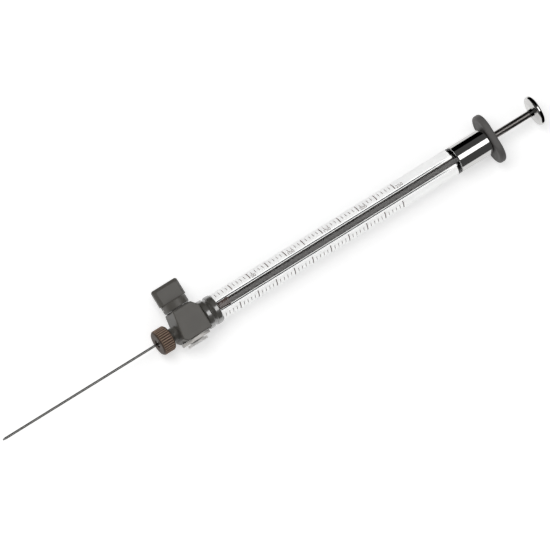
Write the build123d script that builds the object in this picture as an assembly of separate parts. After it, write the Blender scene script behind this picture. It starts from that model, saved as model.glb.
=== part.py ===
from build123d import *
import os
from math import cos, pi, radians, sin

os.makedirs("parts", exist_ok=True)

# A gas-tight microsyringe with a rotary on/off valve between the glass barrel and a removable needle.
# Frame: +X runs along the barrel from the needle to the plunger's button, +Y to the valve's knob, +Z up.
# The origin is on the barrel's axis, where the needle leaves its nut's front face. Sizes are millimetres.

# ---- Driving dimensions ----

# Needle, with a ferrule fixed near its rear end
needle_od = 0.72
needle_bore = 0.41
needle_reach = 51.0          # bevelled tip to the nut's front face
needle_bevel_deg = 15.0      # angle between the bevel and the needle's axis
needle_tail = 1.3            # from the front of the ferrule's flange to the needle's rear end
needle_tail_d = 0.69         # the part behind the nut's front face tapers to this, to lead into the seal
ferrule_neck_d = 1.5
ferrule_neck_length = 0.9
ferrule_flange_d = 2.9
ferrule_flange_t = 0.6

# Knurled nut that clamps the ferrule
nut_od = 7.3
nut_length = 3.9
nut_front_wall = 1.1
nut_recess_d = 2.3
nut_recess_depth = 0.45
nut_land = 0.35              # plain ring at each end of the knurl
nut_land_drop = 0.12         # how far the plain rings lie below the knurl's crests
nut_chamfer = 0.3
knurl_teeth = 32
knurl_depth = 0.22

# Valve body
stud_d = 4.0                 # threaded nose that the nut screws on
stud_gap = 1.8               # bare stud between the nut and the body
body_length = 8.9
body_height = 9.0
body_below = 3.7             # barrel axis to the body's low side, away from the knob
body_above = 5.3             # barrel axis to the seat of the knob
front_lean = 1.4             # how far the front face leans back at the knob side
heel = 1.0                   # bevel at the front low corner
shoulder_length = 1.6        # bevel at the rear corner on the knob side
shoulder_drop = 1.9
body_fillet = 0.35
stub_d = 6.0                 # threaded stub that the barrel's collar screws on
stub_length = 2.4
channel_d = 0.5              # liquid channel through the valve

# Seals on the channel
seal_d = 2.4
seal_length = 1.6
seat_flange_t = 0.5
tip_gap = 0.1                # between the seat's nose and the plunger's tip, fully in

# Plug and what holds it
plug_x = 10.05               # from the nut's front face to the plug's axis
plug_d = 4.6
plug_ring_section = 0.6
plug_ring_place = 2.6        # from the barrel's axis to each sealing ring
plug_stem_d = 3.4
plug_stem_length = 2.4
plug_pilot_d = 2.6
thrust_washer_d = 7.0
thrust_washer_t = 0.25
plug_washer_d = 8.6
plug_washer_t = 0.9
spring_washer_d = 4.2
spring_washer_t = 0.15
spring_washer_rise = 0.12
screw_d = 1.6
screw_length = 2.8
screw_head_d = 6.0
screw_head_t = 0.75
screw_head_round = 0.18
screw_slot = 0.6
screw_slot_depth = 0.35

# Knob
skirt_d = 7.6
skirt_length = 2.3
skirt_chamfer = 0.25
paddle_width = 8.2
paddle_length = 5.0
paddle_t = 3.0
paddle_bevel = 0.8           # bevel round the paddle's two faces, in the plane of the face
paddle_bevel_drop = 0.9
paddle_corner = 0.7
knob_pin_d = 0.9
knob_pin_inset = 0.1

# Glass barrel and the collar at its front end
glass_od = 7.7
glass_bore = 2.3
scale_length = 60.0          # zero mark to full mark, the plunger's marked stroke
scale_margin = 19.4          # bare glass behind the full mark
front_spigot_d = 5.6
rear_spigot_d = 6.6
rear_spigot_length = 7.6
spigot_shoulder = 0.15       # chamfer where the glass steps down
collar_od = 8.4
collar_length = 4.4
collar_gap = 0.2
collar_groove = 0.45         # depth of the groove between the collar's two rings
collar_groove_width = 0.7
collar_round = 0.55

# Chrome ferrule, finger flange and guide at the barrel's rear end
cap_od = 7.85
cap_length = 10.5
cap_rim = 0.25
cap_chamfer = 0.5
cap_neck_d = 5.0
cap_neck_short = 0.1         # how far the neck stops below the flange's rear face
flange_length = 14.6
flange_width = 9.0
flange_t = 2.0
flange_round = 0.6
guide_d = 3.0
guide_flange_d = 4.2
guide_flange_t = 0.5

# Plunger
rod_d = 1.9
rod_spigot_d = 1.0
rod_spigot_length = 2.6
tip_length = 4.3
tip_chamfer = 0.12
rod_showing = 12.3           # bare rod between the finger flange and the button's hub, fully in
button_d = 8.9
button_t = 1.4
button_round = 0.4
button_hub_d = 2.4
button_hub_length = 1.1
button_floor = 0.6           # metal left over the rod's end

# Clearances
running = 0.02               # radial, between pieces that move on each other
fitted = 0.02                # radial, between pieces fixed in one another
face_gap = 0.05              # axial, between pieces that move past each other

# ---- Stations along the barrel, from the nut's front face ----
ferrule_x = nut_front_wall + face_gap
stud_tip_x = ferrule_x + ferrule_flange_t + face_gap
seal_end_x = stud_tip_x + seal_length
body_front_x = nut_length + stud_gap
body_back_x = body_front_x + body_length
stub_end_x = body_back_x + stub_length
glass_start_x = stub_end_x + seat_flange_t
collar_front_x = body_back_x + collar_gap
collar_back_x = collar_front_x + collar_length
tip_x = collar_back_x - 2 * tip_gap
glass_step_x = collar_back_x + scale_length + scale_margin
cap_back_x = glass_step_x + cap_length
glass_end_x = glass_step_x + rear_spigot_length
cap_floor_x = glass_end_x + guide_flange_t + tip_gap
flange_back_x = cap_back_x + flange_t
rod_start_x = tip_x + tip_length
hub_x = flange_back_x + rod_showing
button_x = hub_x + button_hub_length
button_back_x = button_x + button_t
rod_end_x = button_back_x - button_floor

# ---- Stations along the plug, from the barrel's axis ----
thrust_y = body_above + thrust_washer_t
knob_y = thrust_y + face_gap
paddle_y = knob_y + skirt_length
knob_top_y = paddle_y + paddle_length
pin_y = knob_y + skirt_length / 2
plug_low_y = -body_below
washer_y = plug_low_y - face_gap
washer_low_y = washer_y - plug_washer_t
spring_low_y = washer_low_y - spring_washer_t - spring_washer_rise
screw_low_y = spring_low_y - screw_head_t


def turned_x(start, end, diameter, y=0.0):
    """A round bar along X."""
    bar = Cylinder(diameter / 2, end - start, align=(Align.CENTER, Align.CENTER, Align.MIN))
    return Pos(start, y, 0) * Rot(0, 90, 0) * bar


def turned_y(start, end, diameter):
    """A round bar along Y, on the plug's axis."""
    bar = Cylinder(diameter / 2, end - start, align=(Align.CENTER, Align.CENTER, Align.MIN))
    return Pos(plug_x, start, 0) * Rot(-90, 0, 0) * bar


def turned_profile(points):
    """A solid turned about the X axis from a list of (x, radius) points that starts and ends on the axis."""
    profile = make_face(Polyline(*[(x, r, 0) for x, r in points], close=True))
    return revolve(profile, Axis.X, 360)


def round_edges(solid, axis, side):
    """The circular edges at one end of a turned solid: side 0 is its low end along the axis, -1 its high."""
    return solid.edges().filter_by(GeomType.CIRCLE).group_by(axis)[side]


# ---- Needle assembly ----

def make_needle():
    tube_end = ferrule_x + needle_tail
    outline = [(-needle_reach, 0), (-needle_reach, needle_od / 2), (0, needle_od / 2),
               (tube_end, needle_tail_d / 2), (tube_end, 0)]
    tube = turned_profile(outline) - turned_x(-needle_reach, tube_end, needle_bore)
    # The bevel leaves the point on the needle's upper side.
    size = needle_od * 4 / sin(radians(needle_bevel_deg))
    cutter = Box(size, needle_od * 4, size, align=(Align.CENTER, Align.CENTER, Align.MAX))
    cutter = Pos(-needle_reach, 0, needle_od / 2) * Rot(0, needle_bevel_deg, 0) * cutter
    return tube - cutter


def make_needle_ferrule():
    neck = turned_x(ferrule_x - ferrule_neck_length, ferrule_x, ferrule_neck_d)
    flange = turned_x(ferrule_x, ferrule_x + ferrule_flange_t, ferrule_flange_d)
    hole = turned_x(ferrule_x - ferrule_neck_length, ferrule_x + ferrule_flange_t, needle_od + 2 * fitted)
    return neck + flange - hole


def knurled_bar(start, end, diameter, teeth, depth):
    """A straight-knurled bar: a zigzag outline of crests and roots, drawn out along X."""
    points = []
    for k in range(2 * teeth):
        r = diameter / 2 if k % 2 == 0 else diameter / 2 - depth
        points.append((r * cos(pi * k / teeth), r * sin(pi * k / teeth)))
    outline = make_face(Polyline(*points, close=True))
    return Pos(start, 0, 0) * Rot(0, 90, 0) * extrude(outline, end - start)


def make_needle_nut():
    land_d = nut_od - 2 * nut_land_drop
    core = turned_x(0, nut_length, land_d)
    core = chamfer(core.edges().filter_by(GeomType.CIRCLE), nut_chamfer)
    nut = core + knurled_bar(nut_land, nut_length - nut_land, nut_od, knurl_teeth, knurl_depth)
    nut -= turned_x(0, nut_recess_depth, nut_recess_d)
    nut -= turned_x(0, nut_front_wall, ferrule_neck_d + 2 * running)
    return nut - turned_x(nut_front_wall, nut_length, stud_d + 2 * running)


# ---- Valve ----

def make_needle_seal():
    seal = turned_x(stud_tip_x, seal_end_x, seal_d)
    return seal - turned_x(stud_tip_x, seal_end_x, needle_od + 2 * running)


def make_valve_body():
    outline = Polyline(
        (body_front_x, -body_below + heel),
        (body_front_x + heel, -body_below),
        (body_back_x, -body_below),
        (body_back_x, body_above - shoulder_drop),
        (body_back_x - shoulder_length, body_above),
        (body_front_x + front_lean, body_above),
        close=True,
    )
    block = Pos(0, 0, -body_height / 2) * extrude(make_face(outline), body_height)
    block = fillet(block.edges().filter_by(Axis.Z), body_fillet)
    top_and_bottom = block.faces().filter_by(Axis.Z)
    block = fillet(top_and_bottom.edges(), body_fillet)
    stud_root_x = body_front_x + front_lean
    stud = turned_x(stud_tip_x, stud_root_x, stud_d)
    stub = turned_x(body_back_x - heel, stub_end_x, stub_d)
    body = block + stud + stub
    body -= turned_y(plug_low_y, body_above, plug_d + 2 * running)
    body -= turned_x(stud_tip_x, seal_end_x, seal_d + 2 * fitted)
    return body - turned_x(stud_tip_x, stub_end_x, channel_d)


def make_valve_plug():
    plug = turned_y(plug_low_y, body_above - face_gap, plug_d)
    groove_r = plug_d / 2 - plug_ring_section
    for side in (-1, 1):
        low = side * plug_ring_place - plug_ring_section / 2 - face_gap
        high = side * plug_ring_place + plug_ring_section / 2 + face_gap
        plug -= turned_y(low, high, plug_d) - turned_y(low, high, 2 * groove_r)
    plug += turned_y(body_above - face_gap, body_above + plug_stem_length, plug_stem_d)
    plug += turned_y(washer_low_y + face_gap, plug_low_y, plug_pilot_d)
    plug -= turned_x(plug_x - plug_d / 2, plug_x + plug_d / 2, channel_d)
    plug -= turned_y(spring_low_y, spring_low_y + screw_length + face_gap, screw_d + 2 * fitted)
    return plug - turned_x(plug_x - skirt_d / 2, plug_x + skirt_d / 2, knob_pin_d + 2 * fitted, y=pin_y)


def make_plug_ring(side):
    ring_r = plug_d / 2 - plug_ring_section / 2
    section = Pos(plug_x + ring_r, side * plug_ring_place, 0) * Circle(plug_ring_section / 2)
    return revolve(section, Axis((plug_x, 0, 0), (0, 1, 0)), 360)


def make_thrust_washer():
    washer = turned_y(body_above, thrust_y, thrust_washer_d)
    return washer - turned_y(body_above, thrust_y, plug_stem_d + 2 * running)


def paddle_outline(inset):
    """The paddle's outline, drawn in from its free edges by an inset, with its two outer corners rounded."""
    width = paddle_width - 2 * inset
    rectangle = Rectangle(width, paddle_length - inset, align=(Align.CENTER, Align.MIN))
    outer_corners = rectangle.vertices().group_by(Axis.Y)[-1]
    return Pos(plug_x, paddle_y, 0) * fillet(outer_corners, max(paddle_corner - inset, face_gap))


def make_valve_knob():
    skirt = turned_y(knob_y, paddle_y, skirt_d)
    skirt = chamfer(round_edges(skirt, Axis.Y, -1), skirt_chamfer)
    edge_z = paddle_t / 2 - paddle_bevel_drop
    knob = skirt + Pos(0, 0, -edge_z) * extrude(paddle_outline(0), 2 * edge_z)
    for side in (-1, 1):
        outer = Pos(0, 0, side * edge_z) * paddle_outline(0)
        inner = Pos(0, 0, side * paddle_t / 2) * paddle_outline(paddle_bevel)
        knob += loft([outer, inner], ruled=True)
    knob -= turned_y(knob_y, body_above + plug_stem_length + face_gap, plug_stem_d + 2 * fitted)
    return knob - turned_x(plug_x - skirt_d / 2, plug_x + skirt_d / 2, knob_pin_d + 2 * fitted, y=pin_y)


def make_knob_pin():
    half = skirt_d / 2 - knob_pin_inset
    return turned_x(plug_x - half, plug_x + half, knob_pin_d, y=pin_y)


def make_plug_washer():
    washer = turned_y(washer_low_y, washer_y, plug_washer_d)
    return washer - turned_y(washer_low_y, washer_y, plug_pilot_d + 2 * fitted)


def make_spring_washer():
    """A conical washer: its rim rests on the plug washer and its inner edge on the screw's head."""
    inner_r = screw_d / 2 + running
    outer_r = spring_washer_d / 2
    top = washer_low_y
    section = Polyline(
        (plug_x + inner_r, top - spring_washer_rise),
        (plug_x + outer_r, top),
        (plug_x + outer_r, top - spring_washer_t),
        (plug_x + inner_r, top - spring_washer_rise - spring_washer_t),
        close=True,
    )
    return revolve(make_face(section), Axis((plug_x, 0, 0), (0, 1, 0)), 360)


def make_plug_screw():
    head = turned_y(screw_low_y, spring_low_y, screw_head_d)
    head = fillet(round_edges(head, Axis.Y, 0), screw_head_round)
    slot = Box(screw_head_d, screw_slot_depth, screw_slot, align=(Align.CENTER, Align.MIN, Align.CENTER))
    head -= Pos(plug_x, screw_low_y, 0) * slot
    return head + turned_y(spring_low_y, spring_low_y + screw_length, screw_d)


# ---- Barrel ----

def make_barrel_seat():
    """A flanged bush between the valve and the glass, whose nose fills the bore up to the zero mark."""
    flange = turned_x(stub_end_x, glass_start_x, front_spigot_d)
    nose = turned_x(glass_start_x, tip_x - tip_gap, glass_bore - 2 * fitted)
    return flange + nose - turned_x(stub_end_x, tip_x, channel_d)


def make_glass_barrel():
    step_in = collar_back_x + spigot_shoulder
    step_out = glass_step_x - spigot_shoulder
    glass = turned_profile([
        (glass_start_x, 0),
        (glass_start_x, front_spigot_d / 2),
        (collar_back_x, front_spigot_d / 2),
        (collar_back_x, glass_od / 2 - spigot_shoulder),
        (step_in, glass_od / 2),
        (step_out, glass_od / 2),
        (glass_step_x, glass_od / 2 - spigot_shoulder),
        (glass_step_x, rear_spigot_d / 2),
        (glass_end_x, rear_spigot_d / 2),
        (glass_end_x, 0),
    ])
    return glass - turned_x(glass_start_x, glass_end_x, glass_bore)


def make_barrel_collar():
    ring_length = (collar_length - collar_groove_width) / 2
    collar = turned_x(collar_front_x, collar_back_x, collar_od - 2 * collar_groove)
    for start in (collar_front_x, collar_back_x - ring_length):
        ring = turned_x(start, start + ring_length, collar_od)
        collar += fillet(ring.edges().filter_by(GeomType.CIRCLE), collar_round)
    collar -= turned_x(collar_front_x, glass_start_x, stub_d + 2 * fitted)
    return collar - turned_x(glass_start_x, collar_back_x, front_spigot_d + 2 * fitted)


def make_barrel_cap():
    cap = turned_x(glass_step_x, cap_back_x, cap_od)
    cap = fillet(round_edges(cap, Axis.X, 0), cap_rim)
    cap = chamfer(round_edges(cap, Axis.X, -1), cap_chamfer)
    cap += turned_x(cap_back_x, flange_back_x - cap_neck_short, cap_neck_d)
    cap -= turned_x(glass_step_x, cap_floor_x, rear_spigot_d + 2 * fitted)
    return cap - turned_x(cap_floor_x, flange_back_x, guide_d + 2 * fitted)


def make_plunger_guide():
    sleeve = turned_x(cap_floor_x, flange_back_x - 2 * cap_neck_short, guide_d)
    flange = turned_x(cap_floor_x - guide_flange_t, cap_floor_x, guide_flange_d)
    hole = turned_x(cap_floor_x - guide_flange_t, flange_back_x, rod_d + 2 * running)
    return sleeve + flange - hole


def make_finger_flange():
    outline = Rot(0, 0, 90) * SlotOverall(flange_length, flange_width)
    plate = Pos(cap_back_x, 0, 0) * Rot(0, 90, 0) * extrude(outline, flange_t)
    faces = plate.faces().filter_by(Axis.X)
    plate = fillet(faces.edges(), min(flange_round, 0.45 * flange_t))
    return plate - turned_x(cap_back_x, flange_back_x, cap_neck_d + 2 * fitted)


# ---- Plunger ----

def make_plunger_tip():
    tip = turned_x(tip_x, rod_start_x, glass_bore - 2 * running)
    tip = chamfer(tip.edges().filter_by(GeomType.CIRCLE), tip_chamfer)
    hole_depth = rod_spigot_length + face_gap
    return tip - turned_x(rod_start_x - hole_depth, rod_start_x, rod_spigot_d + 2 * fitted)


def make_plunger_rod():
    rod = turned_x(rod_start_x, rod_end_x, rod_d)
    return rod + turned_x(rod_start_x - rod_spigot_length, rod_start_x, rod_spigot_d)


def make_plunger_button():
    disc = turned_x(button_x, button_back_x, button_d)
    disc = fillet(disc.edges().filter_by(GeomType.CIRCLE), min(button_round, 0.45 * button_t))
    button = disc + turned_x(hub_x, button_x, button_hub_d)
    return button - turned_x(hub_x, rod_end_x, rod_d + 2 * fitted)


nodes = {
    "needle": make_needle(),
    "needle_ferrule": make_needle_ferrule(),
    "needle_nut": make_needle_nut(),
    "needle_seal": make_needle_seal(),
    "valve_body": make_valve_body(),
    "valve_plug": make_valve_plug(),
    "plug_ring_low": make_plug_ring(-1),
    "plug_ring_high": make_plug_ring(1),
    "thrust_washer": make_thrust_washer(),
    "valve_knob": make_valve_knob(),
    "knob_pin": make_knob_pin(),
    "plug_washer": make_plug_washer(),
    "spring_washer": make_spring_washer(),
    "plug_screw": make_plug_screw(),
    "barrel_seat": make_barrel_seat(),
    "barrel_collar": make_barrel_collar(),
    "glass_barrel": make_glass_barrel(),
    "barrel_cap": make_barrel_cap(),
    "plunger_guide": make_plunger_guide(),
    "finger_flange": make_finger_flange(),
    "plunger_tip": make_plunger_tip(),
    "plunger_rod": make_plunger_rod(),
    "plunger_button": make_plunger_button(),
}

for name, solid in nodes.items():
    export_step(solid, f"parts/{name}.step")
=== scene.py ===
import math

import bmesh
import bpy
from bpy.props import FloatProperty, FloatVectorProperty, IntProperty, PointerProperty
from mathutils import Matrix, Vector


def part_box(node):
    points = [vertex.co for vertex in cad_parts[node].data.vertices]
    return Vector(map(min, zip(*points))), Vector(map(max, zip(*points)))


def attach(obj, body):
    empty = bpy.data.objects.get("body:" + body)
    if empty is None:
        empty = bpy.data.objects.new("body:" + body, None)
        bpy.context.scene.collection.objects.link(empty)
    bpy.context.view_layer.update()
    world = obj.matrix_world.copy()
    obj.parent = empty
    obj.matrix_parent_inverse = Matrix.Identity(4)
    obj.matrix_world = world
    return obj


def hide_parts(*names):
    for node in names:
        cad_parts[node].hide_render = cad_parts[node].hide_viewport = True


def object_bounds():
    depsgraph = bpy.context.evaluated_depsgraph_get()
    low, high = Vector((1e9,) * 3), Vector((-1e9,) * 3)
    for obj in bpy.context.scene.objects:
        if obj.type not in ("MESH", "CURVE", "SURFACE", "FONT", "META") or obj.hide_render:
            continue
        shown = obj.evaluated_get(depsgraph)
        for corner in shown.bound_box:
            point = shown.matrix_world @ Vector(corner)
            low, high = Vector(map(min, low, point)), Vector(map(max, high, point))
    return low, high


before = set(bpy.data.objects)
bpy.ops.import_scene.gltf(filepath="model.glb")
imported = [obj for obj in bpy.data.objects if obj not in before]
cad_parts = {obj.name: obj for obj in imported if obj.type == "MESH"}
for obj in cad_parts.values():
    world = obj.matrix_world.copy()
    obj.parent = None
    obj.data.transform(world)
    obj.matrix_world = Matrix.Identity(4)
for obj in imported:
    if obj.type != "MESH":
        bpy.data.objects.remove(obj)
CAD_BOX = [list(corner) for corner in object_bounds()]

bl_info = {
    "name": "Microsyringe",
    "version": (1, 0, 0),
    "blender": (4, 5, 0),
    "location": "View3D > Sidebar > Microsyringe",
    "description": "Builds the look of a gas-tight microsyringe with an on/off valve round its CAD frame",
    "category": "Add Mesh",
}

MM = 0.001
TURN = 2 * math.pi
HAIR = 0.001 * MM            # places closer than this are the same place
BARREL_AXIS = (1, 0, 0)
PLUG_AXIS = (0, 1, 0)
ON_BARREL = (0, 0, 0)

# Sizes that two pieces share
FIT = 0.02 * MM              # radial clearance between fitted pieces
STUD_RADIUS = 2.0 * MM
STUB_RADIUS = 3.0 * MM
FRONT_SPIGOT_RADIUS = 2.8 * MM
REAR_SPIGOT_RADIUS = 3.3 * MM
CAP_NECK_RADIUS = 2.5 * MM
ROD_SPIGOT_RADIUS = 0.5 * MM
INK = 0.012 * MM             # thickness of the scale's ink


def length(name, description, mm, low=0.0):
    """A size that a user can change, kept in metres and shown in the scene's unit."""
    return FloatProperty(
        name=name, description=description, default=mm * MM, min=low * MM, unit="LENGTH", precision=5
    )


def colour(name, description, value):
    """A colour that a user can change, in linear light."""
    return FloatVectorProperty(
        name=name, description=description, default=value, size=3, min=0, max=1, subtype="COLOR"
    )


def light_level(name, description, value):
    """A level of light that a user can change."""
    return FloatProperty(name=name, description=description, default=value, min=0)


class MicrosyringeSizes(bpy.types.PropertyGroup):
    """Sizes of the details that the looks add to the frame"""

    needle_bore: length("Needle bore", "Inside diameter of the needle", 0.41)
    needle_bevel: FloatProperty(
        name="Needle bevel", description="Angle between the needle's bevel and its axis",
        default=math.radians(15), subtype="ANGLE",
    )
    knurl_teeth: IntProperty(name="Knurl teeth", description="Teeth round the nut", default=32, min=12, max=60)
    knurl_depth: length("Knurl depth", "Depth of the nut's knurl", 0.22)
    knurl_land: length("Knurl land", "Plain ring at each end of the knurl", 0.35)
    thread_pitch: length("Thread pitch", "Pitch of the stud's thread", 0.5, 0.2)
    thread_depth: length("Thread depth", "Depth of the stud's thread", 0.17)
    body_fillet: length("Body fillet", "Rounding of the valve body's edges", 0.35)
    paddle_bevel: length("Paddle bevel", "Bevel round the knob's paddle, in the plane of its face", 0.8)
    collar_groove: length("Collar groove", "Depth of the groove between the collar's rings", 0.45)
    collar_round: length("Collar rounding", "Rounding of the collar's rings", 0.8)
    cap_taper: length("Cap taper", "Length of the chrome cap's tapered front rim", 0.2)
    flange_round: length("Flange rounding", "Rounding of the finger flange's rim", 0.6)
    mark_width: length("Mark width", "Width of a long scale mark", 0.3, 0.05)
    mark_spacing: length("Mark spacing", "Distance between the long scale marks", 6.0, 1.0)
    figure_height: length("Figure height", "Height of the scale's figures", 1.5, 0.5)


class MicrosyringeColours(bpy.types.PropertyGroup):
    """Colours of the microsyringe's finishes"""

    needle_steel: colour("Needle steel", "Drawn steel of the needle", (0.30, 0.295, 0.285))
    rod_steel: colour("Rod steel", "Ground steel of the plunger rod", (0.26, 0.245, 0.235))
    bright_steel: colour("Bright steel", "Steel of the plug's screw and pin", (0.85, 0.84, 0.82))
    chrome: colour("Chrome", "Plating of the cap and the button", (0.60, 0.595, 0.585))
    nut_bronze: colour("Nut bronze", "Brown finish of the knurled nut", (0.20, 0.14, 0.105))
    valve_plastic: colour("Valve plastic", "Moulded plastic of the valve", (0.092, 0.086, 0.075))
    collar_plastic: colour("Collar plastic", "Glossy plastic of the barrel's collar", (0.080, 0.076, 0.066))
    flange_plastic: colour("Flange plastic", "Matte plastic of the finger flange", (0.115, 0.110, 0.106))
    white_seal: colour("Seal polymer", "White fluoropolymer of the seals", (0.66, 0.64, 0.61))
    tip_polymer: colour("Tip polymer", "Filled fluoropolymer of the plunger's tip", (0.19, 0.135, 0.12))
    seal_rubber: colour("Seal rubber", "Elastomer of the plug's rings", (0.012, 0.012, 0.012))
    scale_ink: colour("Scale ink", "Fired ink of the scale", (0.22, 0.175, 0.165))


class MicrosyringeStudio(bpy.types.PropertyGroup):
    """Levels of the studio's light"""

    key_level: light_level("Key level", "Power of the side softbox in watts", 4.0)
    top_level: light_level("Top level", "Power of the overhead softbox in watts", 1.75)
    fill: light_level("Fill", "Level of the room's even light", 0.44)
    dark: light_level("Dark", "Level of the room in reflections", 0.075)


# ---- Modelling by hand, step by step ----

def clear_selection():
    """Leaves edit mode and selects nothing, so that an operator acts only on the new piece."""
    if bpy.context.mode != "OBJECT":
        bpy.ops.object.mode_set(mode="OBJECT")
    bpy.ops.object.select_all(action="DESELECT")


def make_active(piece):
    clear_selection()
    piece.select_set(True)
    bpy.context.view_layer.objects.active = piece


def settle(name):
    """Names the piece that was just modelled and puts its place into its mesh."""
    piece = bpy.context.object
    make_active(piece)
    bpy.ops.object.transform_apply(location=True, rotation=True, scale=True)
    piece.name = name
    piece.data.name = name
    return piece


def draw_line(points):
    """Starts a new mesh as a line through the points, and stays in edit mode."""
    clear_selection()
    bpy.ops.mesh.primitive_plane_add(size=MM, enter_editmode=True, location=points[0])
    bpy.ops.mesh.select_mode(type="VERT")
    bpy.ops.mesh.merge(type="CENTER")
    for before, after in zip(points, points[1:]):
        bpy.ops.mesh.extrude_region_move(TRANSFORM_OT_translate={"value": tuple(after - before)})
    bpy.ops.mesh.select_all(action="SELECT")


def close_up():
    """Merges the seams and poles of the mesh in edit mode, and turns its faces outwards."""
    bpy.ops.mesh.select_all(action="SELECT")
    bpy.ops.mesh.remove_doubles(threshold=HAIR)
    bpy.ops.mesh.normals_make_consistent(inside=False)
    bpy.ops.object.mode_set(mode="OBJECT")


def turned(name, profile, axis=BARREL_AXIS, centre=ON_BARREL, steps=96):
    """Spins a profile of (place along the axis, radius) points round the axis."""
    along, out = Vector(axis), Vector((0, 0, 1))
    draw_line([Vector(centre) + along * place + out * radius for place, radius in profile])
    bpy.ops.mesh.spin(steps=steps, angle=TURN, center=centre, axis=axis)
    close_up()
    return settle(name)


def bar(name, start, end, radius, axis=BARREL_AXIS, centre=ON_BARREL, steps=96):
    """A solid round bar, mostly a cutter or a part of a larger piece."""
    return turned(name, [(start, 0), (start, radius), (end, radius), (end, 0)], axis, centre, steps)


def block(name, low, high):
    """A box between two corners."""
    low, high = Vector(low), Vector(high)
    clear_selection()
    bpy.ops.mesh.primitive_cube_add(size=1, location=(low + high) / 2, scale=high - low)
    return settle(name)


def pick(piece, kind, test):
    """Enters edit mode with only those vertices, edges or faces selected that pass the test."""
    make_active(piece)
    bpy.ops.object.mode_set(mode="EDIT")
    bpy.ops.mesh.select_mode(type=kind)
    bpy.ops.mesh.select_all(action="DESELECT")
    mesh = bmesh.from_edit_mesh(piece.data)
    for element in {"VERT": mesh.verts, "EDGE": mesh.edges, "FACE": mesh.faces}[kind]:
        element.select = bool(test(element))
    mesh.select_flush_mode()
    bmesh.update_edit_mesh(piece.data)


def pick_vertices(piece, test):
    """Picks the vertices whose place passes the test."""
    pick(piece, "VERT", lambda vertex: test(vertex.co))


def pick_edges(piece, test):
    """Picks the edges whose two ends pass the test."""
    pick(piece, "EDGE", lambda edge: test(edge.verts[0].co, edge.verts[1].co))


def pick_faces(piece, test):
    """Picks the faces that pass the test."""
    pick(piece, "FACE", test)


def pick_rims(piece, radius):
    """Picks the round edges that lie this far out from the barrel's axis."""
    pick_edges(piece, lambda a, b: abs(a.x - b.x) < HAIR
               and min(math.hypot(a.y, a.z), math.hypot(b.y, b.z)) > radius - HAIR)


def pick_open_edges():
    """Picks the rims of the openings in the mesh in edit mode."""
    bpy.ops.mesh.select_all(action="DESELECT")
    bpy.ops.mesh.select_non_manifold(
        extend=False, use_boundary=True, use_wire=False, use_multi_face=False, use_non_contiguous=False,
        use_verts=False,
    )


def bevel_picked(width, segments):
    """Bevels the picked edges and leaves edit mode."""
    bpy.ops.mesh.bevel(offset=width, segments=segments, profile=0.5, clamp_overlap=True)
    bpy.ops.object.mode_set(mode="OBJECT")


def apply_modifier(piece, kind, **settings):
    """Adds a modifier to the piece, sets it and applies it."""
    make_active(piece)
    modifier = piece.modifiers.new(kind.title(), kind)
    for key, value in settings.items():
        setattr(modifier, key, value)
    bpy.ops.object.modifier_apply(modifier=modifier.name)


def soften(piece, width, segments=3, angle=35):
    """Rounds every edge that turns by more than the angle."""
    apply_modifier(
        piece, "BEVEL", width=width, segments=segments, limit_method="ANGLE", angle_limit=math.radians(angle),
        use_clamp_overlap=True,
    )


def combine(piece, other, operation):
    """Joins the other solid to the piece, or cuts it away, and deletes the other."""
    apply_modifier(piece, "BOOLEAN", operation=operation, object=other, solver="EXACT")
    bpy.data.objects.remove(other)


def join(pieces):
    """Makes the first piece of all of them, with each keeping its own closed shell."""
    make_active(pieces[0])
    for piece in pieces:
        piece.select_set(True)
    bpy.ops.object.join()


def tidy_shading(piece, angle=30):
    """Smooths the piece, keeps its real corners sharp and its flat faces flat."""
    make_active(piece)
    bpy.ops.object.shade_smooth_by_angle(angle=math.radians(angle))
    apply_modifier(piece, "WEIGHTED_NORMAL", keep_sharp=True, weight=50)


def place(piece, body, slot, finish, *nodes):
    """Gives the piece its finish and its body, and hides the CAD nodes that it stands for. The slot is not
    used.
    """
    piece.data.materials.clear()
    piece.data.materials.append(finish)
    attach(piece, body)
    if nodes:
        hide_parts(*nodes)


def refinish(node, finish):
    """A CAD node that keeps its own shape gets its finish."""
    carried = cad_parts[node]
    for index in range(len(carried.material_slots)):
        carried.material_slots[index].link = "OBJECT"
        carried.material_slots[index].material = finish


def extent(node, axis=0):
    """Start and end of a CAD node along one axis."""
    low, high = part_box(node)
    return low[axis], high[axis]


def radius_of(node):
    """Radius of a CAD node that is turned round the barrel's axis."""
    low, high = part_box(node)
    return (high.z - low.z) / 2


def plug_centre():
    low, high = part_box("knob_pin")
    return ((low.x + high.x) / 2, 0, 0)


# ---- Effects that several finishes use ----

def new_group(name, inputs, outputs):
    """A shader node group with named inputs (name, kind, default) and outputs (name, kind)."""
    group = bpy.data.node_groups.new(name, "ShaderNodeTree")
    for label, kind, default in inputs:
        socket = group.interface.new_socket(label, in_out="INPUT", socket_type=kind)
        socket.default_value = default
    for label, kind in outputs:
        group.interface.new_socket(label, in_out="OUTPUT", socket_type=kind)
    return group, group.nodes.new("NodeGroupInput"), group.nodes.new("NodeGroupOutput")


def add(tree, kind, **settings):
    """Adds a node to a tree and sets it."""
    node = tree.nodes.new(kind)
    for key, value in settings.items():
        setattr(node, key, value)
    return node


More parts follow.
